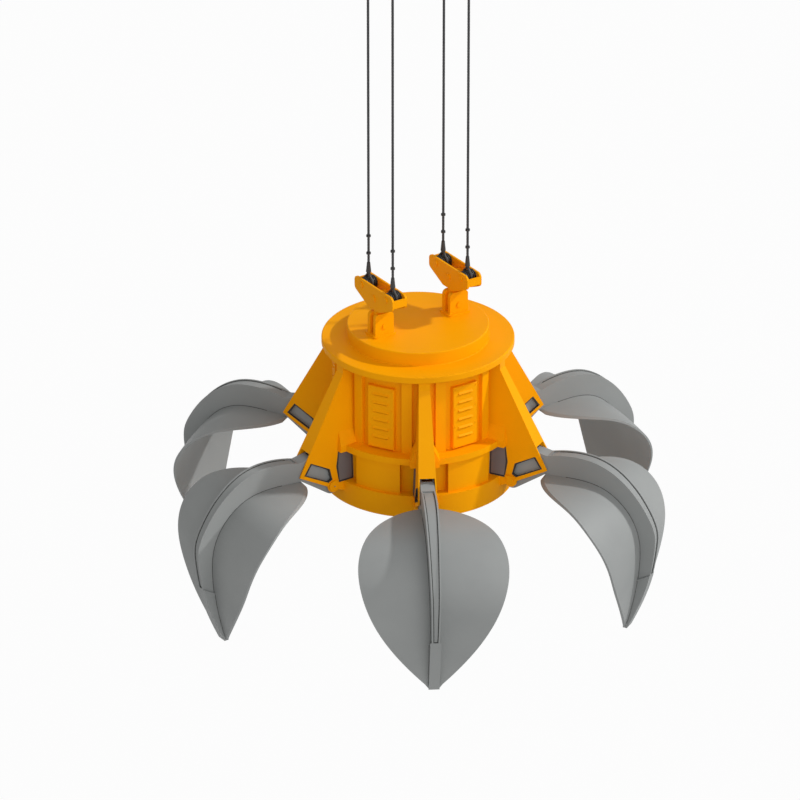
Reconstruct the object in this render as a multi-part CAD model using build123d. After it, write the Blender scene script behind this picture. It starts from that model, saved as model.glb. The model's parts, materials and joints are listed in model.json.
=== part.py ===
"""Six-petal orange-peel grab on four ropes, in millimetres.

The origin is on the grab's axis, level with the two suspension pins; +Z is up.
Petal 1 points along -Y, and petals 2 to 6 follow every 60 degrees towards +X.
The petals are modelled open. Outlines are (radius, height) in a petal's own
radial plane, and are turned about Z to the six places.
"""
from build123d import *
from math import acos, atan2, cos, degrees, hypot, sin
import os

os.makedirs("parts", exist_ok=True)

# ---------------------------------------------------------------- driving sizes
petal_count = 6
pitch = 360 / petal_count
pin_clearance = 0.3          # radial play of every turning or sliding fit

# top deck, round raised cover, drum and lower ring
pin_above_cover = 105        # suspension pins above the raised cover
cover_radius = 706
cover_height = 140
cover_wall = 20
drum_radius = 800
drum_wall = 20
drum_height = 827
deck_overhang = 161          # overhangs and depths are counted from the drum's wall
deck_thickness = 73
deck_plate = 25
ring_overhang = 165
ring_top_flange = 70
waist_overhang = 50
ring_waist_height = 340
ring_bottom_flange = 240
ring_wall = 25
block_depth = 80             # raised blocks on the ring's waist
block_angle = 30
post_depth = 45              # upright pads on the drum beside each arm
post_offset = 11.5           # degrees from the arm
post_angle = 7
bottom_plate = 25
root_lap = 10                # how far a welded piece is drawn into its carrier before it is trimmed

# radii and levels that follow
deck_radius = drum_radius + deck_overhang
ring_radius = drum_radius + ring_overhang
ring_waist_radius = drum_radius + waist_overhang
cover_top = -pin_above_cover
deck_top = cover_top - cover_height
deck_bottom = deck_top - deck_thickness
drum_bottom = deck_bottom - drum_height
waist_top = drum_bottom - ring_top_flange
waist_bottom = waist_top - ring_waist_height
ring_bottom = waist_bottom - ring_bottom_flange


def from_edge(out, up):
    """A (radius, height) point given from the outer lower edge of the drum."""
    return (drum_radius + out, drum_bottom + up)


def line_from_edge(*points):
    return [from_edge(out, up) for out, up in points]


# arms
arm_plate = 14
arm_top_overhang = 132
arm_shoulder = 87            # straight stretch under the deck
arm_knee = from_edge(671, -246)
arm_mouth_height = drum_bottom - 14    # lower end of the arm's outer face plate
arm_heel = line_from_edge((293, -457), (160, -515))
arm_top_half = 56
arm_splay = 0.0417           # growth of half width per unit of drop
beyond_arm = 200             # half width of cuts and blanks that reach past an arm
hinge_at = from_edge(275, -435)        # petal hinge pin
hinge_pin_radius = 40
hinge_head_rim = 20
hinge_lobe = 70
keeper_plate = 12
keeper_length = 110
window_outline = line_from_edge((540, -120), (620, -235), (338, -387), (292, -363), (320, -240))
flare_rise = 135             # flared foot of each arm on the ring's top flange
flare_width = 60
flare_overhang = (200, 220)  # at its top and at its foot
housing_reach = (165, 192, 165)        # dark housing in the arm's foot: top, middle, bottom
housing_back = 160           # its back wall inside the arm
housing_proud = 3

# louvred covers on the drum
vent_width = 285
vent_depth = 40
vent_drop = 137              # below the deck
vent_foot = 20               # above the drum's lower edge
vent_plate = 8
vent_inset = 12              # how far the tray reaches into the drum's wall
vent_margin = 55             # from the tray's end to the louvres
louvre_count = 6
louvre_length = 165
louvre_hood = (14, 26, 5)    # how far a louvre stands out, its slope and its lip
louvre_gap = 12

# petals
shell_plate = 20
spine_points = line_from_edge((640, -300), (1000, -280), (1290, -330), (1470, -450), (1610, -640),
                              (1670, -850), (1670, -1110), (1640, -1370), (1530, -1830))
rib_points = line_from_edge((660, -95), (1000, -40), (1235, -70), (1450, -180), (1630, -350),
                            (1760, -540), (1830, -710), (1830, -910), (1785, -1200), (1550, -1830))
leaf_points = [(77, 360), (266, 620), (533, 730), (807, 720), (1111, 615), (1395, 425), (1570, 262),
               (1730, 85)]
leaf_tip_half = 50
leaf_bend_radius = 4000
leaf_sweep = 24              # degrees, more than the leaf's width takes
weld_gap = 0.3               # between the curved leaf and the rib welded on it
rib_root_half = 70
rib_end_half = 40
rib_plate = 16
rib_top_step = 12            # how deep the rib's top plate lies between its side plates
nose_start = 1340            # along the chord from the petal's root
nose_half = 54
knuckle_radius = 98
rod_pin_at = from_edge(455, -110)
rod_pin_radius = 25
rod_lobe = 52
rod_room = 12                # free space round the rod's lobe in the open root
root_cover = 22              # depth of the closed top of the root
web_setback = 30             # web in the box rib, beyond the petal's root
rib_blank = 90               # half width of the rib before its sides are cut
far = 1500                   # half length of cuts that reach past a petal

# hydraulic cylinders
barrel_pin_at = from_edge(80, 590)
barrel_radius = 40
bore_radius = 32
rod_radius = 22
rod_eye_radius = 42
rod_eye_play = 4
barrel_pin_radius = 16
barrel_eye_radius = 28
barrel_neck = 75
barrel_end_plate = 25
gland_to_rod_pin = 70
gland_length = 45
piston_thickness = 50
piston_stop = 5              # free space behind the piston
slot_inward = 36             # pin travel in the slotted ears, across the cylinder
slot_outward = 47
slot_rise = 7
slot_play = 1
slot_rim = 15                # eye plate around the slot

# suspension
lug_radius = 445
lug_angle = 120              # the second lug stands opposite
beam_turn = -60              # the balance beams' direction from +X
lug_plate = 40
lug_width = 217
lug_gap = 60
lug_top = 140
lug_corner = 45
lug_foot = (30, 20, 20)      # how far the foot plate reaches past the lug, and its thickness
lug_foot_corner = 30
lug_pin_radius = 25
head_rim = 5                 # heads of the pins in lugs and beams
head_thickness = 8
pin_stub = 2                 # pin beyond its head
long_bar = 300               # cutting bars that reach past lugs, links and beams
side_play = 2                # between a link or eye and the plates beside it
link_eye_radius = 80
link_head_radius = 58
link_cross = 80              # height over which the link's two plates cross
beam_pin_height = 300
beam_pin_radius = 30
beam_half_gap = 65
beam_plate = 20
beam_half_length = 340
beam_top = 425
beam_bottom = 175
beam_end_bottom = 290
beam_belly_half = 95
beam_corner = 50
end_plate = (18, 80, 350)    # thickness, height and level of the plate at each end
rope_pin_offset = 215
rope_pin_height = 365
rope_pin_radius = 25
rope_radius = 13
roller_radius = 60           # ribbed roller on the rope pin, at the rope's groove
roller_rim = 6
roller_rib_grooves = (32, 50)          # from its middle
rib_groove_width = 8
throat_height = 92           # all heights on the rope are above its pin
eye_neck = 28
eye_bend = 32
ferrule_length = 100
ferrule_top = 4              # ferrule around the rope at its top
collar_heights = (323, 511)
collar_rim = 10
collar_height = 18
rope_top = 3340
socket_height = 120
socket_rim = (16, 34)        # cone around the rope, below and above
socket_neck = (70, 50, 60)
socket_eye_rise = 170
socket_eye_radius = 50

# power unit inside the drum
tank_radius = 640
tank_height = 480
tank_wall = 10
motor_radius = 210
motor_height = 430
motor_flange = (25, 24)      # rim and thickness
motor_cap = (30, 40)         # inset and height
fin_count = 16
fin_depth = 20
pump_radius = 85
pump_height = 180
intake_radius = 35
intake_height = 80
valve_at = 430
valve_block = (170, 260, 180)
valve_pitch = 80
valve_radius = 24
valve_height = 50
ring_main = 560              # radius of the ring pipe
pipe_rise = 90               # ring pipe above the tank
pipe_radius = 20
branch_radius = 12

# ---------------------------------------------------------------- shared values and helpers
splay_from = deck_bottom - arm_shoulder
arm_top_radius = drum_radius + arm_top_overhang
petal_root, petal_tip = spine_points[0], spine_points[-1]

radial = Plane(origin=(0, 0, 0), x_dir=(0, -1, 0), z_dir=(-1, 0, 0))
angles = [pitch * i for i in range(petal_count)]


def face_of(points):
    """A flat face with straight edges."""
    return make_face(Polyline(*points, close=True))


def across(face, half_width):
    """Thicken a (radius, height) face to both sides of the radial plane."""
    return extrude(radial * face, amount=half_width, both=True)


def round_bar(at, radius, half_width):
    """A bar along the tangent through a point of the radial plane."""
    return across(Pos(*at) * Circle(radius), half_width)


def revolved(points):
    """A body of revolution about Z from its (radius, height) outline."""
    return revolve(Plane.XZ * face_of(points), Axis.Z)


def to_place(shape, angle):
    return Rot(0, 0, angle) * shape


def around(shape, turns):
    return [to_place(shape, angle) for angle in turns]


def export_node(name, solids):
    shape = Compound(children=solids) if isinstance(solids, list) else solids
    export_step(shape, f"parts/{name}.step")


# ---------------------------------------------------------------- deck and cover
def make_deck():
    rim = deck_radius - deck_plate
    inner = drum_radius - drum_wall
    outline = [(0, deck_top), (deck_radius, deck_top), (deck_radius, deck_bottom), (inner, deck_bottom),
               (inner, deck_bottom + deck_plate), (rim, deck_bottom + deck_plate),
               (rim, deck_top - deck_plate), (0, deck_top - deck_plate)]
    deck = revolved(outline)
    rims = deck.edges().filter_by(GeomType.CIRCLE).filter_by(lambda e: e.radius > rim + 1)
    return fillet(rims, 12)


def make_cover():
    inner = cover_radius - cover_wall
    outline = [(0, cover_top), (cover_radius, cover_top), (cover_radius, deck_top), (inner, deck_top),
               (inner, cover_top - 2 * cover_wall), (0, cover_top - 2 * cover_wall)]
    cover = revolved(outline)
    top_edge = cover.edges().filter_by(GeomType.CIRCLE).sort_by(Axis.Z)[-1]
    return fillet(top_edge, 10)


# ---------------------------------------------------------------- drum and ring
vent_top = deck_bottom - vent_drop
vent_height = drum_height - vent_drop - vent_foot
block_radius = drum_radius + waist_overhang + block_depth


def sector(inner, outer, low, high, angle):
    """A block between two radii, centred on petal 1's direction."""
    outline = radial * face_of([(inner, low), (outer, low), (outer, high), (inner, high)])
    return Rot(0, 0, -angle / 2) * revolve(outline, Axis.Z, revolution_arc=angle)


def make_drum():
    inner = drum_radius - drum_wall
    drum = revolved([(inner, drum_bottom), (drum_radius, drum_bottom),
                     (drum_radius, deck_bottom), (inner, deck_bottom)])
    post = sector(drum_radius - 1, drum_radius + post_depth, drum_bottom, deck_bottom, post_angle)
    drum += around(post, [a + side * post_offset for a in angles for side in (-1, 1)])
    window = Pos(0, -drum_radius, vent_top - vent_height / 2) * Box(
        louvre_length, 4 * drum_wall, vent_height - 2 * vent_margin)
    for angle in angles:
        drum -= to_place(window, angle + pitch / 2)
    return drum


def make_ring():
    inner = ring_waist_radius - ring_wall
    rim = ring_radius - ring_wall
    outline = [(drum_radius - drum_wall, drum_bottom), (ring_radius, drum_bottom), (ring_radius, waist_top),
               (ring_waist_radius, waist_top), (ring_waist_radius, waist_bottom),
               (ring_radius, waist_bottom), (ring_radius, ring_bottom), (rim, ring_bottom),
               (rim, waist_bottom - ring_wall), (inner, waist_bottom - ring_wall),
               (inner, drum_bottom - ring_wall), (drum_radius - drum_wall, drum_bottom - ring_wall)]
    ring = revolved(outline)
    block = sector(ring_waist_radius - 1, block_radius, waist_bottom, waist_top, block_angle)
    ring += around(block, [a + pitch / 2 for a in angles])
    return ring


def make_bottom_cover():
    radius = ring_radius - ring_wall
    return Pos(0, 0, ring_bottom + bottom_plate / 2) * Cylinder(radius, bottom_plate)


def body_envelope():
    """Deck, drum, ring and posts as filled shapes, to trim what is welded on them."""
    drum = revolved([(0, drum_bottom), (drum_radius, drum_bottom), (drum_radius, deck_bottom),
                     (0, deck_bottom)])
    ring = revolved([(0, ring_bottom), (ring_radius, ring_bottom), (ring_radius, waist_bottom),
                     (ring_waist_radius, waist_bottom), (ring_waist_radius, waist_top),
                     (ring_radius, waist_top), (ring_radius, drum_bottom), (0, drum_bottom)])
    post = sector(drum_radius - 1, drum_radius + post_depth, drum_bottom, deck_bottom, post_angle)
    return drum + ring + around(post, [-post_offset, post_offset])


# ---------------------------------------------------------------- arms
def half_width_at(height):
    return arm_top_half + arm_splay * (splay_from - height)


def front_prism(half_outline):
    """A prism along the radius from (half width, height) points, downwards."""
    outline = face_of([(-half, z) for half, z in half_outline] + half_outline[::-1])
    start = drum_radius - 2 * beyond_arm
    return Pos(0, -start, 0) * extrude(Plane.XZ * outline, amount=arm_knee[0] + beyond_arm - start)


def splay_wedge(inset):
    """Everything between an arm's side faces, moved inwards by inset."""
    low = ring_bottom - beyond_arm
    top = arm_top_half - inset
    return front_prism([(top, deck_bottom), (top, splay_from), (half_width_at(low) - inset, low)])


def make_arm(envelope):
    top = (arm_top_radius, splay_from)
    run = hypot(arm_knee[0] - top[0], arm_knee[1] - top[1])
    along = ((arm_knee[0] - top[0]) / run, (arm_knee[1] - top[1]) / run)
    inward = (along[1] * arm_plate, -along[0] * arm_plate)
    mouth_share = (arm_mouth_height - top[1]) / (arm_knee[1] - top[1])
    mouth = (top[0] + mouth_share * (arm_knee[0] - top[0]), arm_mouth_height)
    root = drum_radius - root_lap
    outline = face_of([(root, deck_bottom), (arm_top_radius, deck_bottom), top, arm_knee,
                       *arm_heel, (root, arm_heel[-1][1])])
    plates = across(outline, beyond_arm) + round_bar(hinge_at, hinge_lobe, beyond_arm)
    arm = plates & splay_wedge(0)
    past_knee = arm_knee[0] + beyond_arm / 2
    hollow = face_of([(root - root_lap, deck_bottom - arm_plate),
                      (arm_top_radius - arm_plate, deck_bottom - arm_plate),
                      (top[0] + inward[0], top[1] + inward[1]),
                      (mouth[0] + inward[0], mouth[1] + inward[1]),
                      (mouth[0] + 4 * arm_plate, mouth[1]), (past_knee, arm_knee[1] + 4 * arm_plate),
                      (past_knee, ring_bottom), (root - root_lap, ring_bottom)])
    arm -= across(hollow, beyond_arm) & splay_wedge(arm_plate)
    arm -= across(face_of(window_outline), beyond_arm)
    arm += slotted_ears()
    arm += flared_foot()
    arm -= across(housing_outline(), beyond_arm)
    arm -= round_bar(hinge_at, hinge_pin_radius, beyond_arm)
    return arm - envelope


def slot_face(radius):
    """The slot in which the barrel's pin travels, across the cylinder's line."""
    dx = barrel_pin_at[0] - rod_pin_at[0]
    dz = barrel_pin_at[1] - rod_pin_at[1]
    length = hypot(dx, dz)
    up = (dx / length, dz / length)
    side = (-up[1], up[0])
    ends = []
    for travel in (slot_inward, -slot_outward):
        ends.append((barrel_pin_at[0] + travel * side[0] + up[0] * slot_rise / 2,
                     barrel_pin_at[1] + travel * side[1] + up[1] * slot_rise / 2))
    middle = ((ends[0][0] + ends[1][0]) / 2, (ends[0][1] + ends[1][1]) / 2)
    turn = degrees(atan2(side[1], side[0]))
    return Pos(*middle) * Rot(0, 0, turn) * SlotCenterToCenter(slot_inward + slot_outward, 2 * radius)


def slotted_ears():
    """Two lugs inside the arm that carry the barrel's upper pin."""
    slot_radius = barrel_pin_radius + slot_rise / 2 + slot_play
    ear = across(slot_face(slot_radius + slot_rim), beyond_arm) & splay_wedge(arm_plate - side_play)
    ear -= across(slot_face(slot_radius + 2 * slot_rim), barrel_eye_radius + side_play + slot_play)
    return ear - across(slot_face(slot_radius), beyond_arm)


def flared_foot():
    """The arm's side plates spread towards the ring's top flange."""
    root = drum_radius - root_lap
    top, foot = (drum_radius + overhang for overhang in flare_overhang)
    outline = face_of([(root, drum_bottom + flare_rise), (top, drum_bottom + flare_rise),
                       (foot, drum_bottom), (foot, waist_top), (root, waist_top)])
    wide = half_width_at(drum_bottom) + flare_width
    flare = front_prism([(half_width_at(drum_bottom + flare_rise), drum_bottom + flare_rise),
                         (wide, drum_bottom), (wide, waist_top)])
    return (across(outline, beyond_arm) & flare) - splay_wedge(arm_plate / 2)


def housing_outline():
    """Side view of the dark housing between the ring's waist and the petal's hinge."""
    top, middle, bottom = (ring_waist_radius + reach for reach in housing_reach)
    root = ring_waist_radius - root_lap
    return face_of([(root, waist_top), (top, waist_top), (middle, (waist_top + waist_bottom) / 2),
                    (bottom, waist_bottom), (root, waist_bottom)])


def make_housing(envelope):
    """A channel that fills the notch in the arm's foot and closes it towards the ring."""
    block = across(housing_outline(), beyond_arm) & splay_wedge(-housing_proud)
    back = drum_radius + housing_back
    room = face_of([(back, waist_top), (arm_knee[0], waist_top), (arm_knee[0], waist_bottom),
                    (back, waist_bottom)])
    block -= across(room, beyond_arm) & splay_wedge(arm_plate)
    return block - envelope


# ---------------------------------------------------------------- louvred covers
def make_vent():
    """A shallow tray on the drum with punched louvres."""
    back = drum_radius - vent_inset
    front_y = drum_radius + vent_depth
    tray = Pos(0, -(back + front_y) / 2, 0) * Box(vent_width, front_y - back, vent_height)
    front = tray.faces().sort_by(Axis.Y)[0]
    tray = chamfer(front.edges(), vent_plate - side_play)
    tray -= Pos(0, vent_plate - front_y / 2, 0) * Box(
        vent_width - 2 * vent_plate, front_y, vent_height - 2 * vent_plate)
    out, slope, lip = louvre_hood
    inner = vent_plate - front_y
    hood = Plane.YZ * face_of([(inner, 0), (-front_y - out, -slope), (-front_y - out, -slope - lip),
                               (inner, -slope - lip)])
    hood = extrude(hood, amount=louvre_length / 2, both=True)
    slot = Pos(0, -front_y, -slope - louvre_gap / 2) * Box(
        louvre_length - 2 * lip, 3 * vent_plate, louvre_gap)
    step = (vent_height - 2 * vent_margin) / louvre_count
    for i in range(louvre_count):
        height = vent_height / 2 - vent_margin - step * i
        tray += Pos(0, 0, height) * hood
        tray -= Pos(0, 0, height - lip) * slot
    tray -= Cylinder(drum_radius, 2 * vent_height)
    return Pos(0, 0, vent_top - vent_height / 2) * tray


# ---------------------------------------------------------------- petals
run_r = petal_tip[0] - petal_root[0]
run_z = petal_tip[1] - petal_root[1]
chord_length = hypot(run_r, run_z)
chord = (run_r / chord_length, run_z / chord_length)
chord_3d = (0, -chord[0], chord[1])
inward_3d = (0, -chord[1], -chord[0])
root_3d = (0, -petal_root[0], petal_root[1])
leaf_plane = Plane(origin=root_3d, x_dir=chord_3d, z_dir=inward_3d)


def shifted(points, distance):
    """The points of a curve moved sideways, to the left of its direction if positive."""
    moved = []
    for i, point in enumerate(points):
        before = points[max(i - 1, 0)]
        after = points[min(i + 1, len(points) - 1)]
        dx, dz = after[0] - before[0], after[1] - before[1]
        length = hypot(dx, dz)
        moved.append((point[0] - dz / length * distance, point[1] + dx / length * distance))
    return moved


def band(outer, inner):
    """The face between two curves, closed by straight ends."""
    return make_face([Spline(*outer), Line(outer[-1], inner[-1]), Spline(*inner[::-1]),
                      Line(inner[0], outer[0])])


def chord_prism(points, inward, outward):
    """A prism across the petal from an outline of (distance along the chord, width)."""
    face = leaf_plane * face_of(points)
    return extrude(face, amount=inward) + extrude(face, amount=-outward)


def make_shell():
    """The leaf: a plate curved along its spine and slightly across it."""
    spine_band = radial * band(spine_points, shifted(spine_points, -shell_plate))
    centre = [root_3d[i] + inward_3d[i] * leaf_bend_radius for i in range(3)]
    curved = revolve(spine_band, Axis(centre, chord_3d), revolution_arc=leaf_sweep)
    curved = curved.rotate(Axis(centre, chord_3d), -leaf_sweep / 2)
    side = [(0, 0)] + leaf_points
    mirrored = [(c, -w) for c, w in side]
    start = leaf_points[-1]
    outline = make_face([Spline(*side), Line(start, (chord_length, leaf_tip_half)),
                         Line((chord_length, leaf_tip_half), (chord_length, -leaf_tip_half)),
                         Line((chord_length, -leaf_tip_half), (start[0], -start[1])),
                         Spline(*mirrored[::-1])])
    return curved & extrude(leaf_plane * outline, amount=far, both=True)


def taper(inset):
    """The space between the rib's side faces, narrowing from root to nose."""
    root = rib_root_half - inset
    end = rib_end_half - inset
    reach = chord_length + beyond_arm
    tip = root + (end - root) * reach / nose_start
    outline = [(-far, -root), (0, -root), (reach, -tip), (reach, tip), (0, root), (-far, root)]
    return chord_prism(outline, far, far)


def root_room(web_radius):
    """Free space between the root's two side plates, where the rod's eye swings."""
    left = hinge_at[0] - far / 10
    high = rib_points[1][1] + beyond_arm
    mouth_end = rod_pin_at[0] + rod_lobe + rod_room
    cover_under = rib_points[0][1] - root_cover
    low = hinge_at[1] - knuckle_radius + 2 * rib_plate
    outline = face_of([(left, high), (mouth_end, high), (mouth_end, cover_under),
                       (web_radius, cover_under), (web_radius, petal_root[1] + rib_plate),
                       (hinge_at[0] + hinge_pin_radius, low), (left, low)])
    return across(outline, rib_blank) - round_bar(hinge_at, knuckle_radius, rib_blank)


def make_rib():
    """The box rib on the leaf's back with the root that carries the hinge."""
    seat_line = shifted(spine_points, weld_gap)
    back = across(band(rib_points, seat_line), rib_blank)
    hinge, rod = Pos(*hinge_at) * Circle(knuckle_radius), Pos(*rod_pin_at) * Circle(rod_lobe)
    heel = Polyline(rib_points[0], seat_line[0])
    root = across(make_hull(hinge.edges() + rod.edges() + heel.edges()), rib_blank)
    body = (back + root) & taper(0)
    web_radius = petal_root[0] + web_setback
    body -= root_room(web_radius) & taper(rib_plate)
    # a hollow box between the web and the solid nose, its top plate set in between the sides
    top_under = shifted(rib_points, -(rib_top_step + rib_plate))
    below_leaf = shifted(spine_points, -shell_plate)
    hollow = across(band(top_under[:-1], below_leaf[:-1]), rib_blank)
    before_nose = chord_prism([(-far, -rib_blank), (nose_start, -rib_blank), (nose_start, rib_blank),
                               (-far, rib_blank)], far, far)
    beyond_web = before_nose - Pos(0, far - web_radius - rib_plate, hinge_at[1]) * Box(
        2 * rib_blank, 2 * far, 2 * far)
    body -= hollow & taper(rib_plate) & beyond_web
    groove = across(band(shifted(rib_points, 2 * rib_top_step), shifted(rib_points, -rib_top_step)),
                    rib_blank)
    body -= groove & taper(rib_plate) & beyond_web
    nose = across(band(rib_points, seat_line), nose_half)
    nose &= chord_prism([(nose_start, -rib_blank), (chord_length + far, -rib_blank),
                         (chord_length + far, rib_blank), (nose_start, rib_blank)], far, far)
    body += nose
    body -= round_bar(hinge_at, hinge_pin_radius + pin_clearance, rib_blank)
    return body - round_bar(rod_pin_at, rod_pin_radius + pin_clearance, rib_blank)


# ---------------------------------------------------------------- pins and cylinders
pin_head_radius = hinge_pin_radius + hinge_head_rim
pin_reach = half_width_at(hinge_at[1] - pin_head_radius)


def keeper_bar():
    """The plate that locks a hinge pin in its notch."""
    middle = -pin_reach - keeper_plate / 2
    return Pos(middle, -hinge_at[0], hinge_at[1] + hinge_pin_radius) * Box(
        keeper_plate, keeper_length, 2 * keeper_plate)


def make_hinge_pin():
    pin = round_bar(hinge_at, hinge_pin_radius, pin_reach + keeper_plate)
    head_middle = pin_reach + keeper_plate / 2
    pin += Pos(head_middle, 0, 0) * round_bar(hinge_at, pin_head_radius, keeper_plate / 2)
    return pin - keeper_bar()


cylinder_run = (barrel_pin_at[0] - rod_pin_at[0], barrel_pin_at[1] - rod_pin_at[1])
cylinder_length = hypot(*cylinder_run)
cylinder_axis = (cylinder_run[0] / cylinder_length, cylinder_run[1] / cylinder_length)
cylinder_plane = Plane(origin=(0, -rod_pin_at[0], rod_pin_at[1]), x_dir=(1, 0, 0),
                       z_dir=(0, -cylinder_axis[0], cylinder_axis[1]))


def on_cylinder(radius, start, end):
    """A round piece on the cylinder's line, from start to end above the rod pin."""
    return cylinder_plane * (Pos(0, 0, (start + end) / 2) * Cylinder(radius, end - start))


def make_rod():
    eye_half = rib_root_half - rib_plate - rod_eye_play
    piston_end = cylinder_length - barrel_neck - barrel_end_plate - piston_stop
    rod = on_cylinder(rod_radius, rod_radius, piston_end) + round_bar(rod_pin_at, rod_eye_radius, eye_half)
    rod += on_cylinder(bore_radius - pin_clearance, piston_end - piston_thickness, piston_end)
    return rod - round_bar(rod_pin_at, rod_pin_radius, rib_blank)


def make_rod_pin():
    return round_bar(rod_pin_at, rod_pin_radius, rib_root_half - slot_play)


def make_barrel():
    top = cylinder_length - barrel_neck
    gland_end = gland_to_rod_pin + gland_length
    barrel = on_cylinder(barrel_radius, gland_to_rod_pin, top)
    barrel -= on_cylinder(bore_radius, gland_end, top - barrel_end_plate)
    barrel -= on_cylinder(rod_radius + pin_clearance, 0, gland_end + piston_stop)
    neck = on_cylinder(barrel_eye_radius, top - barrel_end_plate / 2, cylinder_length)
    eye = round_bar(barrel_pin_at, barrel_eye_radius, barrel_eye_radius)
    pin_half = half_width_at(barrel_pin_at[1]) - arm_plate - side_play
    pin = round_bar(barrel_pin_at, barrel_pin_radius, pin_half)
    return barrel + neck + eye + pin


# ---------------------------------------------------------------- suspension
lug_place = Rot(0, 0, lug_angle) * Pos(0, -lug_radius, 0)


def lug_frame(index):
    """Local axes at a lug: X along its balance beam, Y along the beam's pins."""
    spot = (lug_place if index == 0 else Rot(0, 0, 180) * lug_place).position
    return Pos(spot.X, spot.Y, 0) * Rot(0, 0, beam_turn)


def plate_yz(face, thickness, at):
    """A plate across X, centred on at."""
    return Pos(at, 0, 0) * extrude(Plane.YZ * face, amount=thickness / 2, both=True)


def plate_xz(face, thickness, at):
    """A plate across Y, centred on at."""
    return Pos(0, at, 0) * extrude(Plane.XZ * face, amount=thickness / 2, both=True)


def bar_x(radius, length, at=(0, 0, 0)):
    return Pos(*at) * Rot(0, 90, 0) * Cylinder(radius, length)


def bar_y(radius, length, at=(0, 0, 0)):
    return Pos(*at) * Rot(90, 0, 0) * Cylinder(radius, length)


def make_lug():
    outline = face_of([(-lug_width / 2, cover_top), (lug_width / 2, cover_top),
                       (lug_width / 2, lug_top), (-lug_width / 2, lug_top)])
    outline = fillet(outline.vertices().sort_by(Axis.Y)[-2:], lug_corner)
    offset = (lug_gap + lug_plate) / 2
    lug = plate_yz(outline, lug_plate, offset) + plate_yz(outline, lug_plate, -offset)
    past_x, past_y, thickness = lug_foot
    foot = Pos(0, 0, cover_top + thickness / 2) * Box(
        2 * (lug_plate + past_x) + lug_gap, lug_width + 2 * past_y, thickness)
    lug += fillet(foot.edges().filter_by(Axis.Z), lug_foot_corner)
    return lug - bar_x(lug_pin_radius, long_bar)


def make_lug_pin():
    length = lug_gap + 2 * lug_plate
    pin = bar_x(lug_pin_radius, length + 2 * (head_thickness + pin_stub))
    spot = (length + head_thickness) / 2
    heads = [bar_x(lug_pin_radius + head_rim, head_thickness, (side * spot, 0, 0)) for side in (-1, 1)]
    return pin + heads


def make_link():
    """Crossed link: its lower eye swings in the lug, its upper eye in the beam."""
    eye = Circle(link_eye_radius)
    head = Pos(0, beam_pin_height - link_cross) * Circle(link_head_radius)
    lower = make_hull(eye.edges() + head.edges())
    link = plate_yz(lower, lug_gap - 2 * side_play, 0)
    upper = Pos(0, beam_pin_height - link_cross / 2) * Rot(0, 0, 90) * SlotCenterToCenter(
        link_cross, 2 * link_head_radius)
    link += plate_xz(upper, 2 * (beam_half_gap - side_play), 0)
    link -= bar_x(lug_pin_radius + pin_clearance, long_bar)
    return link - bar_y(beam_pin_radius + pin_clearance, long_bar, (0, 0, beam_pin_height))


def make_beam():
    """Balance beam: two side plates joined by an end plate at each end."""
    end = beam_half_length
    outline = face_of([(-end, beam_top), (end, beam_top), (end, beam_end_bottom),
                       (beam_belly_half, beam_bottom), (-beam_belly_half, beam_bottom),
                       (-end, beam_end_bottom)])
    corners = outline.vertices().sort_by(Axis.X)
    outline = fillet(corners[:2] + corners[-2:], beam_corner)
    offset = beam_half_gap + beam_plate / 2
    beam = plate_xz(outline, beam_plate, offset) + plate_xz(outline, beam_plate, -offset)
    thickness, height, level = end_plate
    for side in (-1, 1):
        beam += Pos(side * (end - thickness / 2 - pin_clearance), 0, level) * Box(
            thickness, 2 * beam_half_gap + side_play, height)
    beam -= bar_y(beam_pin_radius, long_bar, (0, 0, beam_pin_height))
    for side in (-1, 1):
        beam -= bar_y(rope_pin_radius, long_bar, (side * rope_pin_offset, 0, rope_pin_height))
    return beam


def headed_pin(radius, x, height):
    length = 2 * (beam_half_gap + beam_plate)
    pin = bar_y(radius, length + 2 * (head_thickness + pin_stub), (x, 0, height))
    spot = (length + head_thickness) / 2
    for side in (-1, 1):
        pin += bar_y(radius + head_rim, head_thickness, (x, side * spot, height))
    return pin


def make_beam_pins():
    pins = [headed_pin(beam_pin_radius, 0, beam_pin_height)]
    return pins + [headed_pin(rope_pin_radius, side * rope_pin_offset, rope_pin_height)
                   for side in (-1, 1)]


def make_roller():
    """Ribbed roller on the rope pin, with the rope's groove in its middle."""
    roller = bar_y(roller_radius + roller_rim, 2 * (beam_half_gap - side_play))
    roller -= Rot(90, 0, 0) * Torus(roller_radius + rope_radius, rope_radius + pin_clearance)
    for offset in roller_rib_grooves:
        for side in (-1, 1):
            spot = (0, side * offset, 0)
            roller -= bar_y(2 * roller_radius, rib_groove_width, spot) - bar_y(
                roller_radius - roller_rim, rib_groove_width, spot)
    return roller - bar_y(rope_pin_radius + pin_clearance, long_bar)


def make_eye():
    """The rope's eye: down one leg, round the roller and up the other leg."""
    turn = roller_radius + rope_radius
    leg = rope_radius + pin_clearance
    angle = atan2(leg, throat_height) + acos(turn / hypot(leg, throat_height))
    side, height = turn * sin(angle), turn * cos(angle)
    start = (leg, 0, throat_height + eye_neck)
    path = FilletPolyline(start, (leg, 0, throat_height), (side, 0, height), radius=eye_bend)
    path += ThreePointArc((side, 0, height), (0, 0, -turn), (-side, 0, height))
    path += FilletPolyline((-side, 0, height), (-leg, 0, throat_height),
                           (-leg, 0, throat_height + eye_neck), radius=eye_bend)
    section = Plane(origin=start, z_dir=(0, 0, -1)) * Circle(rope_radius)
    return sweep(section, path=Wire(path.edges()))


ferrule_bottom = throat_height + eye_neck


def make_ferrule():
    """The pressed sleeve that joins the eye's two legs to the rope above."""
    foot = 2 * rope_radius + 2 * pin_clearance
    return Pos(0, 0, ferrule_bottom + ferrule_length / 2) * Cone(
        foot, rope_radius + ferrule_top, ferrule_length)


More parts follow.
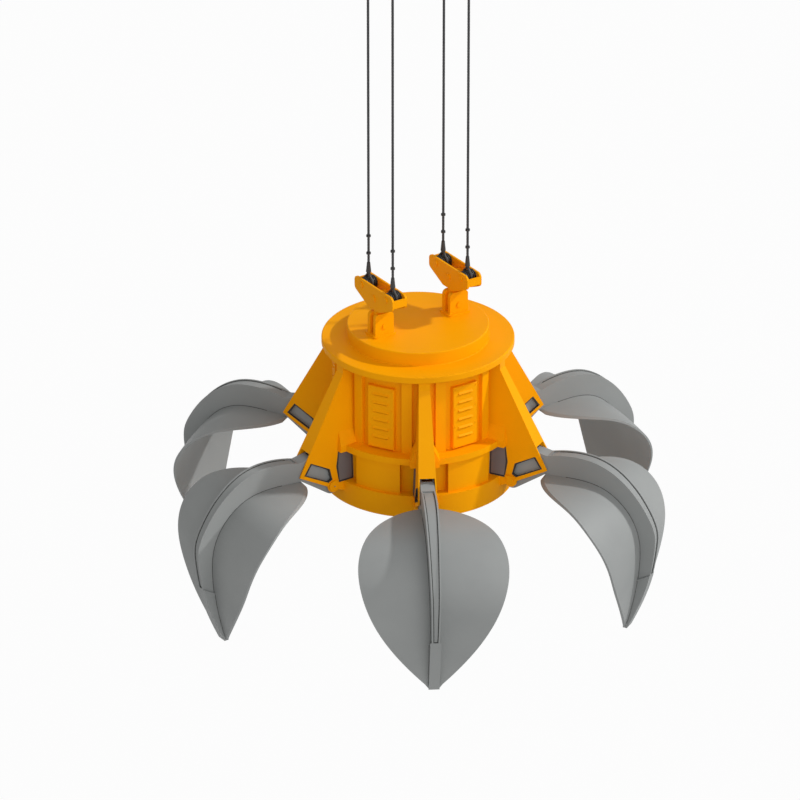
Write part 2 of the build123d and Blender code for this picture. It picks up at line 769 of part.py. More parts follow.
def make_collar(height):
    collar = Pos(0, 0, height) * Cylinder(rope_radius + collar_rim, collar_height)
    return collar - Pos(0, 0, height) * Cylinder(rope_radius + pin_clearance, 2 * collar_height)


def make_rope():
    low = ferrule_bottom + ferrule_length
    return Pos(0, 0, (low + rope_top) / 2) * Cylinder(rope_radius, rope_top - low)


def make_socket():
    low, high = (rope_radius + rim for rim in socket_rim)
    cone = Pos(0, 0, rope_top + socket_height / 2) * Cone(low, high, socket_height)
    eye = bar_y(socket_eye_radius, socket_neck[1], (0, 0, rope_top + socket_eye_rise))
    neck = Pos(0, 0, rope_top + (socket_height + socket_eye_rise) / 2) * Box(*socket_neck)
    return cone + neck + eye - bar_y(rope_pin_radius, long_bar, (0, 0, rope_top + socket_eye_rise))


def rope_frames():
    """The four rope pins: two on each balance beam."""
    return [lug_frame(index) * Pos(side * rope_pin_offset, 0, rope_pin_height)
            for index in range(2) for side in (-1, 1)]


# ---------------------------------------------------------------- power unit in the drum
tank_floor = ring_bottom + bottom_plate
tank_top = tank_floor + tank_height


def make_tank():
    inner = tank_radius - tank_wall
    return revolved([(0, tank_floor), (tank_radius, tank_floor), (tank_radius, tank_top), (0, tank_top),
                     (0, tank_top - tank_wall), (inner, tank_top - tank_wall),
                     (inner, tank_floor + tank_wall), (0, tank_floor + tank_wall)])


def make_motor():
    """Upright finned electric motor on the tank's lid."""
    rim, thickness = motor_flange
    inset, cap = motor_cap
    middle = tank_top + motor_height / 2
    motor = Pos(0, 0, middle) * Cylinder(motor_radius - fin_depth, motor_height)
    fin = Pos(0, fin_depth / 2 - motor_radius, middle + thickness / 2) * Box(
        fin_depth / 2, 1.2 * fin_depth, motor_height - 3 * thickness)
    for i in range(fin_count):
        motor += to_place(fin, i * 360 / fin_count)
    motor += Pos(0, 0, tank_top + thickness / 2) * Cylinder(motor_radius + rim, thickness)
    return motor + Pos(0, 0, tank_top + motor_height + cap / 2) * Cylinder(motor_radius - inset, cap)


def make_pump():
    """The pump that hangs from the lid into the oil."""
    lid = tank_top - tank_wall
    pump = Pos(0, 0, lid - pump_height / 2) * Cylinder(pump_radius, pump_height)
    return pump + Pos(0, 0, lid - pump_height - intake_height / 2) * Cylinder(intake_radius, intake_height)


def make_valves():
    width, length, height = valve_block
    block = Pos(valve_at, 0, tank_top + height / 2) * Box(width, length, height)
    for i in range(-1, 2):
        block += Pos(valve_at, i * valve_pitch, tank_top + height + valve_height / 2) * Cylinder(
            valve_radius, valve_height)
    return block


def make_pipes():
    """Ring main on the valve block with a branch to each arm."""
    level = tank_top + pipe_rise
    pipes = Pos(0, 0, level) * Torus(ring_main, pipe_radius)
    end = ring_waist_radius - ring_wall - weld_gap
    branch = Pos(0, -(ring_main + end) / 2, level) * Rot(90, 0, 0) * Cylinder(
        branch_radius, end - ring_main)
    pipes += around(branch, angles)
    start = valve_at + valve_block[0] / 2
    feed = Rot(0, 90, 0) * Cylinder(pipe_radius, ring_main - start)
    return pipes + Pos((start + ring_main) / 2, 0, level) * feed


# ---------------------------------------------------------------- write the nodes
export_node("top_deck", make_deck())
export_node("raised_cover", make_cover())
export_node("drum_shell", make_drum())
export_node("lower_ring", make_ring())
export_node("bottom_cover", make_bottom_cover())

envelope = body_envelope()
arm = make_arm(envelope)
for number, angle in enumerate(angles, 1):
    export_node(f"arm_{number}", to_place(arm, angle))
export_node("hinge_housings", around(make_housing(envelope), angles))
export_node("hinge_pins", around(make_hinge_pin(), angles))
export_node("pin_keepers", around(keeper_bar(), angles))
export_node("vent_covers", around(make_vent(), [a + pitch / 2 for a in angles]))

shell = make_shell()
rib = make_rib()
rod, rod_pin, barrel = make_rod(), make_rod_pin(), make_barrel()
for number, angle in enumerate(angles, 1):
    export_node(f"petal_shell_{number}", to_place(shell, angle))
    export_node(f"petal_rib_{number}", to_place(rib, angle))
    export_node(f"cylinder_rod_{number}", around(rod, [angle]) + around(rod_pin, [angle]))
    export_node(f"cylinder_barrel_{number}", to_place(barrel, angle))

frames = [lug_frame(index) for index in range(2)]
lug, lug_pin, link, beam, beam_pins = make_lug(), make_lug_pin(), make_link(), make_beam(), make_beam_pins()
export_node("suspension_lugs", [frame * lug for frame in frames])
export_node("lug_pins", [frame * lug_pin for frame in frames])
for number, frame in enumerate(frames, 1):
    export_node(f"link_{number}", frame * link)
    export_node(f"balance_beam_{number}", frame * beam)
    export_node(f"beam_pins_{number}", [frame * pin for pin in beam_pins])
rope = make_rope()
fittings = [make_roller(), make_eye(), make_ferrule(), make_socket()]
fittings += [make_collar(height) for height in collar_heights]
for number, frame in enumerate(rope_frames(), 1):
    export_node(f"rope_{number}", frame * rope)
    export_node(f"rope_fittings_{number}", [frame * piece for piece in fittings])

export_node("oil_tank", make_tank())
export_node("electric_motor", make_motor())
export_node("pump_and_valves", [make_pump(), make_valves()])
export_node("oil_pipes", make_pipes())
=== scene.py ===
"""A six-petal orange-peel grab hanging open on its four hoist ropes.

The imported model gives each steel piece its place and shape. This script gives each its
finish and adds what is welded, bolted or laid on it: beads, heads, nipples and strands.
"""
import json
from math import atan2, cos, pi, radians, sin, sqrt, tau

import bmesh
import bpy
from mathutils import Matrix, Vector


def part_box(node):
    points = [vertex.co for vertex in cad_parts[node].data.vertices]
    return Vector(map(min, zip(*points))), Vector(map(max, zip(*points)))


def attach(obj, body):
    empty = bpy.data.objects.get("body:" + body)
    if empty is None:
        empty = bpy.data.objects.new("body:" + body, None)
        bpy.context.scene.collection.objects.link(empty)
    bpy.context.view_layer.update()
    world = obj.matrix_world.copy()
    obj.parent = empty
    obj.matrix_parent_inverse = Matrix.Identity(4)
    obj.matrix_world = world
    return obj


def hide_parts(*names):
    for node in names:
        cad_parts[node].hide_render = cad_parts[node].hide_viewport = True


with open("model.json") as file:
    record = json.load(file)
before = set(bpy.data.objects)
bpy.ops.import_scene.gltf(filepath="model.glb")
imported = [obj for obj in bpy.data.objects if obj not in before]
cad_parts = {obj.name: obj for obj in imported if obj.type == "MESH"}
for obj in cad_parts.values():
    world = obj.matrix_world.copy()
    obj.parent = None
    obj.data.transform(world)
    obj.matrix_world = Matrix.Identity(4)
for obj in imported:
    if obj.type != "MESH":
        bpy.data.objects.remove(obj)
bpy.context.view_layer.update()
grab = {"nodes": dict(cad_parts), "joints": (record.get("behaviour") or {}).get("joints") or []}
nodes = grab["nodes"]
pivots = {joint["name"]: joint for joint in grab["joints"]}

# ---------------------------------------------------------------- deck and raised cover
# The deck is a round plate with a deep rolled rim, and the machine cover stands on it.
# Both are welded steel under thick orange enamel, a little uneven as sprayed plant is.
petal_count = 6


def new_finish(name):
    """A material with its shader and the Object coordinates to paint by."""
    material = bpy.data.materials.new(name)
    material.use_nodes = True
    tree = material.node_tree
    place = tree.nodes.new("ShaderNodeTexCoord").outputs["Object"]
    return material, tree, tree.nodes["Principled BSDF"], place


def mottle(tree, place, scale, detail=3.0):
    """Cloudy grey noise, from 0 to 1."""
    cloud = tree.nodes.new("ShaderNodeTexNoise")
    cloud.inputs["Scale"].default_value = scale
    cloud.inputs["Detail"].default_value = detail
    tree.links.new(place, cloud.inputs["Vector"])
    return cloud.outputs["Fac"]


def graded(tree, value, stops):
    """A colour or grey read from a value; each stop is (value, colour or grey)."""
    band = tree.nodes.new("ShaderNodeValToRGB")
    spare = band.color_ramp.elements
    for index, (position, colour) in enumerate(stops):
        stop = spare[index] if index < 2 else spare.new(position)
        stop.position = position
        stop.color = (*colour, 1) if isinstance(colour, tuple) else (colour, colour, colour, 1)
    tree.links.new(value, band.inputs["Fac"])
    return band.outputs["Color"]


def roughen(tree, shader, value, strength, depth):
    """Fine relief of a surface, in metres deep."""
    relief = tree.nodes.new("ShaderNodeBump")
    relief.inputs["Strength"].default_value = strength
    relief.inputs["Distance"].default_value = depth
    tree.links.new(value, relief.inputs["Height"])
    tree.links.new(relief.outputs["Normal"], shader.inputs["Normal"])


def enamel(name, colour, shade, gloss, shine=0.2):
    """Sprayed enamel: two close tones in clouds, uneven gloss and a fine orange-peel skin."""
    material, tree, shader, place = new_finish(name)
    tone = graded(tree, mottle(tree, place, 1.4), [(0.35, shade), (0.65, colour)])
    tree.links.new(tone, shader.inputs["Base Color"])
    dull = graded(tree, mottle(tree, place, 3.5), [(0.3, gloss - 0.03), (0.7, gloss + 0.05)])
    tree.links.new(dull, shader.inputs["Roughness"])
    shader.inputs["Specular IOR Level"].default_value = shine
    roughen(tree, shader, mottle(tree, place, 110.0, 1.0), 0.06, 0.001)
    return material


def coat(material, *names):
    """Gives CAD nodes their finish."""
    for name in names:
        nodes[name].data.materials.clear()
        nodes[name].data.materials.append(material)


def fit(name, mesh, body, material, smooth=False):
    """Turns a finished bmesh into a piece that rides on a body."""
    bmesh.ops.recalc_face_normals(mesh, faces=mesh.faces)
    data = bpy.data.meshes.new(name)
    mesh.to_mesh(data)
    mesh.free()
    for polygon in data.polygons:
        polygon.use_smooth = smooth
    data.materials.append(material)
    piece = bpy.data.objects.new(name, data)
    bpy.context.scene.collection.objects.link(piece)
    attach(piece, body)
    return piece


def weld_ring(mesh, radius, height, size):
    """A bead laid round the axis; every other ring is slacker, as the puddle freezes."""
    laid = set(mesh.verts)
    stand = Matrix.Translation((radius, 0, height)) @ Matrix.Rotation(pi / 2, 4, "X")
    section = bmesh.ops.create_circle(mesh, segments=8, radius=size, matrix=stand)["verts"]
    rim = list({edge for vertex in section for edge in vertex.link_edges})
    ripples = 2 * round(pi * radius / (1.6 * size))
    bmesh.ops.spin(mesh, geom=section + rim, axis=(0, 0, 1), cent=(0, 0, 0), angle=tau,
                   steps=ripples, use_merge=True)
    for vertex in set(mesh.verts) - laid:
        along = atan2(vertex.co.y, vertex.co.x)
        middle = Vector((radius * cos(along), radius * sin(along), height))
        if round(along / tau * ripples) % 2:
            vertex.co = middle + (vertex.co - middle) * 0.86


orange = enamel("orange_enamel", (0.96, 0.385, 0.0), (0.93, 0.36, 0.0), 0.5, 0.06)
coat(orange, "top_deck", "raised_cover", "drum_shell", "lower_ring", "bottom_cover", "vent_covers")
coat(orange, "suspension_lugs", "lug_pins", "link_1", "link_2", "balance_beam_1", "balance_beam_2")
coat(orange, "beam_pins_1", "beam_pins_2")
coat(orange, *(f"arm_{number}" for number in range(1, petal_count + 1)))

cover_foot, cover_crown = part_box("raised_cover")
deck_low, deck_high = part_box("top_deck")
cover_seam = bmesh.new()
weld_ring(cover_seam, cover_crown.x, deck_high.z, 0.007)
fit("cover_weld", cover_seam, "frame", orange, smooth=True)

# ---------------------------------------------------------------- drum and lower ring
# The drum is rolled plate, and the ring under it a flanged casting; both are welded up
# all round. The bottom cover is bolted, so that the oil tank can be lifted out.
ring_foot, ring_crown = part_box("lower_ring")
drum_radius = 0.800
waist_radius = 0.850
waist_top = ring_crown.z - 0.070
waist_foot = ring_foot.z + 0.240

shell_seams = bmesh.new()
weld_ring(shell_seams, drum_radius, ring_crown.z, 0.006)
weld_ring(shell_seams, drum_radius, deck_low.z, 0.006)
weld_ring(shell_seams, waist_radius, waist_foot, 0.006)
weld_ring(shell_seams, waist_radius, waist_top, 0.006)
fit("shell_welds", shell_seams, "frame", orange, smooth=True)


def hex_bolt(mesh, at, outward, size):
    """A washer and a chamfered hexagon head on a face; size is half the head's width."""
    stand = Matrix.Translation(at) @ Vector(outward).to_track_quat("Z", "Y").to_matrix().to_4x4()
    for sides, foot, crown, low, high in ((14, 1.25, 1.25, -0.2, 0.22), (6, 1.0, 1.0, 0.2, 0.85),
                                          (6, 1.0, 0.8, 0.85, 0.95)):
        lift = Matrix.Translation((0, 0, (low + high) / 2 * size))
        bmesh.ops.create_cone(mesh, cap_ends=True, segments=sides, radius1=foot * size,
                              radius2=crown * size, depth=(high - low) * size, matrix=stand @ lift)


def ground_steel(name, colour, metal, rough):
    """Bare or oiled steel with a faint grain and duller patches."""
    material, tree, shader, place = new_finish(name)
    dark = tuple(0.8 * channel for channel in colour)
    tone = graded(tree, mottle(tree, place, 9.0, 5.0), [(0.3, dark), (0.7, colour)])
    tree.links.new(tone, shader.inputs["Base Color"])
    dull = graded(tree, mottle(tree, place, 25.0), [(0.3, rough - 0.06), (0.7, rough + 0.1)])
    tree.links.new(dull, shader.inputs["Roughness"])
    shader.inputs["Metallic"].default_value = metal
    roughen(tree, shader, mottle(tree, place, 260.0, 2.0), 0.08, 0.0005)
    return material


turned_steel = ground_steel("turned_steel", (0.40, 0.39, 0.38), 0.9, 0.36)
cover_bolts = bmesh.new()
bolt_count = 24
for number in range(bolt_count):
    turn = tau * (number + 0.5) / bolt_count
    hex_bolt(cover_bolts, (0.895 * cos(turn), 0.895 * sin(turn), ring_foot.z), (0, 0, -1), 0.014)
fit("bottom_cover_bolts", cover_bolts, "frame", turned_steel)

# ---------------------------------------------------------------- louvred covers
# Six pressed trays let cooling air into the drum. Each is held by eight small screws, so
# that a fitter can reach the power unit.
vent_low, vent_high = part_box("vent_covers")
vent_half = 0.285 / 2
vent_reach = drum_radius + 0.040
vent_screws = bmesh.new()
for number in range(petal_count):
    turn = Matrix.Rotation(tau * (number + 0.5) / petal_count, 4, "Z")
    for side in (-1, 1):
        for share in (0.04, 0.35, 0.65, 0.96):
            height = vent_low.z + share * (vent_high.z - vent_low.z)
            spot = turn @ Vector((side * (vent_half - 0.022), -vent_reach, height))
            hex_bolt(vent_screws, spot, turn @ Vector((0, -1, 0)), 0.0065)
fit("vent_screws", vent_screws, "frame", orange)

# ---------------------------------------------------------------- arms
# Box arms of two splayed side plates and a face plate. A bead runs where each side plate
# meets the deck and the drum.
arm_half_top = 0.056
arm_splay = 0.0417
splay_from = -0.405
arm_top_radius = 0.932
flare_top = ring_crown.z + 0.135


def arm_half(height):
    """Half the arm's width at a height."""
    return arm_half_top + arm_splay * max(0.0, splay_from - height)


def weld_path(mesh, points, size):
    """A bead along points: a round section carried from one to the next, full and slack by turns."""
    heading = (points[1] - points[0]).normalized()
    stand = Matrix.Translation(points[0]) @ heading.to_track_quat("Z", "Y").to_matrix().to_4x4()
    section = bmesh.ops.create_circle(mesh, segments=6, radius=size, matrix=stand)["verts"]
    rim = list({edge for vertex in section for edge in vertex.link_edges})
    start = rim
    for index in range(1, len(points)):
        grown = bmesh.ops.extrude_edge_only(mesh, edges=rim)["geom"]
        section = [part for part in grown if isinstance(part, bmesh.types.BMVert)]
        ends = set(section)
        rim = [part for part in grown if isinstance(part, bmesh.types.BMEdge) and ends.issuperset(part.verts)]
        ahead = (points[min(index + 1, len(points) - 1)] - points[index - 1]).normalized()
        turn = heading.rotation_difference(ahead).to_matrix().to_4x4()
        slack = 0.82 if index % 2 else 1 / 0.82
        step = Matrix.Translation(points[index]) @ turn @ Matrix.Scale(slack, 4)
        bmesh.ops.transform(mesh, matrix=step @ Matrix.Translation(-points[index - 1]), verts=section)
        heading = ahead
    bmesh.ops.holes_fill(mesh, edges=start + rim)


def spaced(start, end, gap):
    """Points from start to end, about a gap apart."""
    count = max(2, round((end - start).length / gap))
    return [start.lerp(end, index / count) for index in range(count + 1)]


arm_seams = bmesh.new()
for number in range(petal_count):
    turn = Matrix.Rotation(tau * number / petal_count, 3, "Z")
    for side in (-1, 1):
        upright = [Vector((side * arm_half(height), -sqrt(drum_radius ** 2 - arm_half(height) ** 2), height))
                   for height in (deck_low.z, splay_from, flare_top)]
        out = Vector((side * arm_half_top, -arm_top_radius, deck_low.z))
        for start, end in ((out, upright[0]), (upright[0], upright[1]), (upright[1], upright[2])):
            weld_path(arm_seams, [turn @ point for point in spaced(start, end, 0.010)], 0.006)
fit("arm_welds", arm_seams, "frame", orange, smooth=True)

# ---------------------------------------------------------------- hinge housings and pins
# A dark grey housing fills the notch in each arm's foot. The hinge pins are painted with the
# frame, locked by a keeper bar with two bolts and greased through a nipple in the head.
housing_grey = enamel("housing_enamel", (0.20, 0.175, 0.17), (0.17, 0.15, 0.145), 0.55, 0.15)
coat(housing_grey, "hinge_housings")
coat(orange, "hinge_pins", "pin_keepers")


def grease_nipple(mesh, at, outward, size):
    """A hexagon foot, a neck and a round head, on a pin's end."""
    stand = Matrix.Translation(at) @ Vector(outward).to_track_quat("Z", "Y").to_matrix().to_4x4()
    for sides, radius, low, high in ((6, 1.0, -0.2, 0.7), (10, 0.55, 0.7, 1.6), (10, 0.75, 1.6, 2.1)):
        lift = Matrix.Translation((0, 0, (low + high) / 2 * size))
        bmesh.ops.create_cone(mesh, cap_ends=True, segments=sides, radius1=radius * size,
                              radius2=0.8 * radius * size, depth=(high - low) * size, matrix=stand @ lift)


hinge = Vector(pivots["petal_hinge_1"]["pos_m"])
pin_radius = 0.040
keeper_thick = 0.012
keeper_bolt_gap = 0.038
pin_reach = arm_half(hinge.z - pin_radius - 0.020) + keeper_thick
keeper_bolts = bmesh.new()
hinge_nipples = bmesh.new()
for number in range(petal_count):
    turn = Matrix.Rotation(tau * number / petal_count, 4, "Z")
    keeper = hinge + Vector((-pin_reach, 0, pin_radius))
    for side in (-1, 1):
        hex_bolt(keeper_bolts, turn @ (keeper + Vector((0, side * keeper_bolt_gap, 0))),
                 turn @ Vector((-1, 0, 0)), 0.008)
    grease_nipple(hinge_nipples, turn @ (hinge + Vector((pin_reach, 0, 0))), turn @ Vector((1, 0, 0)), 0.006)
fit("keeper_bolts", keeper_bolts, "frame", orange)
fit("hinge_nipples", hinge_nipples, "frame", turned_steel)

# Near-black finish: lining each arm window's edge and in each rib's recess it is painted shade; round each housing
# panel it is a dark strip along the notch edges.
shade_and_strip_black = ground_steel("painted_shade_and_dark_strips", (0.030, 0.031, 0.028), 0.0, 0.7)


def dark_strip(mesh, outline, width, low, high):
    """A flat strip inside a closed outline of (radius, height), on an arm's side from low to high."""
    middle = [sum(values) / len(outline) for values in zip(*outline)]
    for r, z in outline:
        reach = sqrt((r - middle[0]) ** 2 + (z - middle[1]) ** 2)
        share = 1 - 1.35 * width / reach
        inner = (middle[0] + share * (r - middle[0]), middle[1] + share * (z - middle[1]))
        for radius, height in ((r, z), inner):
            for proud in (low, high):
                mesh.verts.new((arm_half(height) + proud, -radius, height))
    mesh.verts.ensure_lookup_table()
    count = len(outline)
    start = len(mesh.verts) - 4 * count
    for index in range(count):
        here = [mesh.verts[start + 4 * index + corner] for corner in (0, 1, 3, 2)]
        ahead = [mesh.verts[start + 4 * ((index + 1) % count) + corner] for corner in (0, 1, 3, 2)]
        for corner in range(4):
            after = (corner + 1) % 4
            mesh.faces.new((here[corner], here[after], ahead[after], ahead[corner]))


window_outline = [(1.340, -1.265), (1.420, -1.380), (1.138, -1.532), (1.092, -1.508), (1.120, -1.385)]
panel_outline = [(0.852, waist_top), (1.015, waist_top), (1.042, (waist_top + waist_foot) / 2),
                 (1.015, waist_foot), (0.852, waist_foot)]
one_side = bmesh.new()
# The strip lining each window's edge is painted shade, standing for the shadow inside the opening; the strip round
# the housing panel is a dark strip along the notch edges.
dark_strip(one_side, window_outline, 0.014, -0.012, 0.002)
dark_strip(one_side, panel_outline, 0.014, 0.002, 0.005)
dark_strips = bmesh.new()
for number in range(petal_count):
    turn = Matrix.Rotation(tau * number / petal_count, 4, "Z")
    for side in (-1, 1):
        before = set(dark_strips.verts)
        copy = bpy.data.meshes.new("strip_copy")
        one_side.to_mesh(copy)
        dark_strips.from_mesh(copy)
        bpy.data.meshes.remove(copy)
        fresh = [vertex for vertex in dark_strips.verts if vertex not in before]
        bmesh.ops.transform(dark_strips, matrix=turn @ Matrix.Diagonal((side, 1, 1, 1)), verts=fresh)
one_side.free()
fit("arm_dark_strips", dark_strips, "frame", shade_and_strip_black)

# ---------------------------------------------------------------- petals
# Six leaves of rolled plate with a box rib on the back, in grey semi-matt enamel. The
# goods rub the tips, and a bead joins each side of the rib to the leaf.
petal_grey, petal_tree, petal_shader, petal_place = new_finish("petal_enamel")
petal_tone = graded(petal_tree, mottle(petal_tree, petal_place, 1.2, 4.0),
                    [(0.3, (0.278, 0.288, 0.285)), (0.7, (0.312, 0.322, 0.317))])
petal_tree.links.new(petal_tone, petal_shader.inputs["Base Color"])
petal_gloss = graded(petal_tree, mottle(petal_tree, petal_place, 4.0), [(0.3, 0.48), (0.7, 0.58)])
petal_tree.links.new(petal_gloss, petal_shader.inputs["Roughness"])
petal_shader.inputs["Specular IOR Level"].default_value = 0.2
roughen(petal_tree, petal_shader, mottle(petal_tree, petal_place, 70.0), 0.06, 0.001)
for number in range(1, petal_count + 1):
    coat(petal_grey, f"petal_shell_{number}", f"petal_rib_{number}")

petal_root = Vector((0, -1.440, -1.445))
petal_tip = Vector((0, -2.330, -2.975))
chord_length = (petal_tip - petal_root).length
chord = (petal_tip - petal_root) / chord_length
inward = Vector((0, -chord.z, chord.y))
rib_root_half, rib_end_half, nose_start, nose_half = 0.070, 0.040, 1.340, 0.054


def traced(node, runs, offset_at):
    """Points on a petal's back, found by looking inwards at places along its chord."""
    spots = []
    for run in runs:
        start = petal_root + chord * run - inward + Vector((offset_at(run), 0, 0))
        found, spot, facing, index = nodes[node].ray_cast(start, inward)
        if found:
            spots.append(spot)
    return spots


def steps(first, last, gap):
    """Numbers from first to last, about a gap apart."""
    count = round((last - first) / gap)
    return [first + (last - first) * index / count for index in range(count + 1)]


def rib_half(run):
    """Half the rib's width at a place along the chord."""
    return rib_root_half + (rib_end_half - rib_root_half) * max(run, 0.0) / nose_start


# The petal beads are real welds, but their dark grey is painted shade along the foot of the rib on the leaf.
weld_painted_shade_grey = ground_steel("weld_painted_shade_grey", (0.11, 0.113, 0.11), 0.1, 0.6)
petal_seams = bmesh.new()
rib_painted_shade = bmesh.new()
for side in (-1, 1):
    weld_path(petal_seams, traced("petal_shell_1", steps(0.10, nose_start - 0.01, 0.012),
                                  lambda run: side * (rib_half(run) + 0.001)), 0.006)
    weld_path(petal_seams, traced("petal_shell_1", steps(nose_start + 0.01, chord_length - 0.04, 0.012),
                                  lambda run: side * (nose_half + 0.001)), 0.006)
    # A near-black strip along both edges of the rib's recess and across its end is painted shade in the recess.
    weld_path(rib_painted_shade, traced("petal_rib_1", steps(-0.13, nose_start - 0.006, 0.02),
                                lambda run: side * (rib_half(run) - 0.016 - 0.004)), 0.005)
end_seal = [traced("petal_rib_1", [nose_start - 0.006], lambda run: offset)[0]
            for offset in steps(0.016 - rib_end_half, rib_end_half - 0.016, 0.006)]
weld_path(rib_painted_shade, end_seal, 0.005)
for number in range(petal_count):
    for source, name, finish, slot in ((petal_seams, "petal_welds", weld_painted_shade_grey, "petal_paint"),
                                       (rib_painted_shade, "rib_painted_shade", shade_and_strip_black, "housing_paint")):
        copy = bpy.data.meshes.new("petal_copy")
        source.to_mesh(copy)
        turned = bmesh.new()
        turned.from_mesh(copy)
        bpy.data.meshes.remove(copy)
        bmesh.ops.transform(turned, matrix=Matrix.Rotation(tau * number / petal_count, 4, "Z"), verts=turned.verts)
        fit(f"{name}_{number + 1}", turned, f"petal_{number + 1}", finish, smooth=True)
petal_seams.free()
rib_painted_shade.free()

# ---------------------------------------------------------------- hydraulic cylinders
# A welded barrel in enamel hangs on its pin inside each arm, and pushes the petal with a
# hard-chromed rod.
barrel_grey = enamel("barrel_enamel", (0.30, 0.30, 0.30), (0.27, 0.27, 0.27), 0.42)
rod_chrome = ground_steel("rod_chrome", (0.60, 0.61, 0.62), 1.0, 0.18)
for number in range(1, petal_count + 1):
    coat(barrel_grey, f"cylinder_barrel_{number}")
    coat(rod_chrome, f"cylinder_rod_{number}")

# ---------------------------------------------------------------- hoist ropes
# Four 26 mm wire ropes of six laid strands, taut from the ferrule above each roller on the
# balance beams up to the socket above. Rollers, ferrules, collars and sockets are forged.
rope_black = ground_steel("greased_wire", (0.055, 0.055, 0.057), 0.4, 0.5)
forged_black = ground_steel("forged_steel", (0.050, 0.048, 0.046), 0.3, 0.5)
rope_diameter = 0.026
strand_count = 6
lay_length = 0.19
steps_per_lay = 18


def lobed_section(mesh, stand):
    """Six strands seen end on: a circle with six lobes that just reach the rope's diameter."""
    section = bmesh.ops.create_circle(mesh, segments=6 * strand_count, radius=rope_diameter / 2)["verts"]
    for vertex in section:
        lobe = abs(cos(strand_count * atan2(vertex.co.y, vertex.co.x) / 2))
        vertex.co *= 0.84 + 0.16 * lobe
    bmesh.ops.transform(mesh, matrix=stand, verts=section)
    return section


for number in range(1, 5):
    low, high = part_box(f"rope_{number}")
    foot = Vector(((low.x + high.x) / 2, (low.y + high.y) / 2, low.z))
    head = Vector((foot.x, foot.y, high.z))
    strands = bmesh.new()
    section = lobed_section(strands, Matrix.Translation(foot))
    turns = (head - foot).length / lay_length
    steps = round(turns * steps_per_lay)
    bmesh.ops.spin(strands, geom=section + strands.edges[:], cent=foot, axis=(0, 0, 1),
                   dvec=(head - foot) / steps, angle=turns * tau, steps=steps)
    bmesh.ops.holes_fill(strands, edges=[edge for edge in strands.edges if edge.is_boundary])
    rope = fit(f"hoist_rope_{number}", strands, f"rope_{number}", rope_black, smooth=True)
    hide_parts(f"rope_{number}")
    fittings = f"rope_fittings_{number}"
    coat(forged_black, fittings)

# ---------------------------------------------------------------- power unit
# Oil tank, motor, pump, valves and pipes stand inside the drum, behind the louvres.
tank_grey = enamel("tank_enamel", (0.33, 0.35, 0.36), (0.29, 0.31, 0.32), 0.5)
motor_blue = enamel("motor_enamel", (0.045, 0.08, 0.13), (0.04, 0.07, 0.115), 0.45)
coat(tank_grey, "oil_tank")
coat(motor_blue, "electric_motor")
coat(barrel_grey, "pump_and_valves", "oil_pipes")

# ---------------------------------------------------------------- studio
# A pale floor far below the hanging grab. One window light comes from the right and a
# broad soft one from the front, with white sky all round.
floor_mesh = bmesh.new()
bmesh.ops.create_grid(floor_mesh, x_segments=1, y_segments=1, size=150, matrix=Matrix.Translation((0, 0, -9)))
floor_data = bpy.data.meshes.new("floor")
floor_mesh.to_mesh(floor_data)
floor_mesh.free()
floor = bpy.data.objects.new("floor", floor_data)
bpy.context.scene.collection.objects.link(floor)

pale = bpy.data.materials.new("pale_floor")
pale.use_nodes = True
pale_tree = pale.node_tree
pale_shader = pale_tree.nodes["Principled BSDF"]
pale_shader.inputs["Base Color"].default_value = (0.55, 0.55, 0.55, 1)
pale_shader.inputs["Roughness"].default_value = 0.9
white = pale_tree.nodes.new("ShaderNodeEmission")
rays = pale_tree.nodes.new("ShaderNodeLightPath")
cover_share = pale_tree.nodes.new("ShaderNodeMixShader")
seen = rays.outputs["Is Camera Ray"]
for other in ("Is Glossy Ray", "Is Transmission Ray"):
    either = pale_tree.nodes.new("ShaderNodeMath")
    either.operation = "MAXIMUM"
    pale_tree.links.new(seen, either.inputs[0])
    pale_tree.links.new(rays.outputs[other], either.inputs[1])
    seen = either.outputs[0]
part_white = pale_tree.nodes.new("ShaderNodeMath")
part_white.operation = "MULTIPLY"
part_white.inputs[1].default_value = 0.95
pale_tree.links.new(seen, part_white.inputs[0])
pale_tree.links.new(part_white.outputs[0], cover_share.inputs["Fac"])
pale_tree.links.new(pale_shader.outputs[0], cover_share.inputs[1])
pale_tree.links.new(white.outputs[0], cover_share.inputs[2])
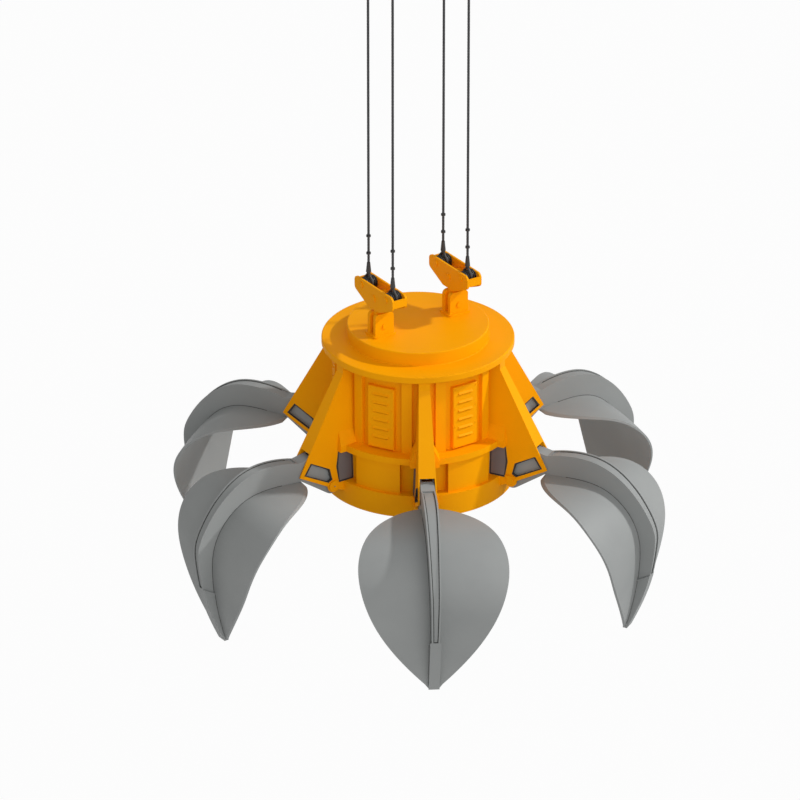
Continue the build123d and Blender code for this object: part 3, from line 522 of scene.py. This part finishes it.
pale_tree.links.new(cover_share.outputs[0], pale_tree.nodes["Material Output"].inputs["Surface"])
floor_data.materials.append(pale)

# ---------------------------------------------------------------- camera and light
# A long lens a little left of petal 1, looking down on the deck, keeps the lines almost
# parallel.
camera_turn = radians(-3.79)
camera_rise = radians(26.63)
to_right = Vector((cos(camera_turn), sin(camera_turn), 0))
to_camera = Vector((sin(camera_turn), -cos(camera_turn), 0))
look_back = to_camera * cos(camera_rise) + Vector((0, 0, sin(camera_rise)))
look_up = look_back.cross(to_right)
camera_data = bpy.data.cameras.new("camera")
camera_data.lens = 302.3
camera_data.sensor_width = 36
camera_data.clip_end = 300
camera = bpy.data.objects.new("camera", camera_data)
camera.matrix_world = Matrix((to_right, look_up, look_back)).transposed().to_4x4()
camera.location = Vector((0, 0, -1.095)) - 0.179 * to_right + 0.111 * look_up + 67.19 * look_back
bpy.context.scene.collection.objects.link(camera)
bpy.context.scene.camera = camera
bpy.context.scene.view_settings.view_transform = "Standard"

sun_rise = radians(38)
sun_turn = radians(8)
to_sun = (to_right * cos(sun_turn) - to_camera * sin(sun_turn)) * cos(sun_rise) + Vector((0, 0, sin(sun_rise)))
sun_data = bpy.data.lights.new("window", "SUN")
sun_data.energy = 1.9
sun_data.angle = radians(3)
sun = bpy.data.objects.new("window", sun_data)
sun.rotation_euler = to_sun.to_track_quat("Z", "Y").to_euler()
bpy.context.scene.collection.objects.link(sun)

front_rise = radians(16)
to_front = (to_camera * cos(radians(25)) + to_right * sin(radians(25))) * cos(front_rise)
to_front += Vector((0, 0, sin(front_rise)))
front_data = bpy.data.lights.new("front", "SUN")
front_data.energy = 1.05
front_data.angle = radians(60)
front = bpy.data.objects.new("front", front_data)
front.rotation_euler = to_front.to_track_quat("Z", "Y").to_euler()
bpy.context.scene.collection.objects.link(front)

sky = bpy.data.worlds.new("sky")
sky.use_nodes = True
sky.node_tree.nodes["Background"].inputs["Color"].default_value = (1, 1, 1, 1)
sky.node_tree.nodes["Background"].inputs["Strength"].default_value = 0.5
bpy.context.scene.world = sky
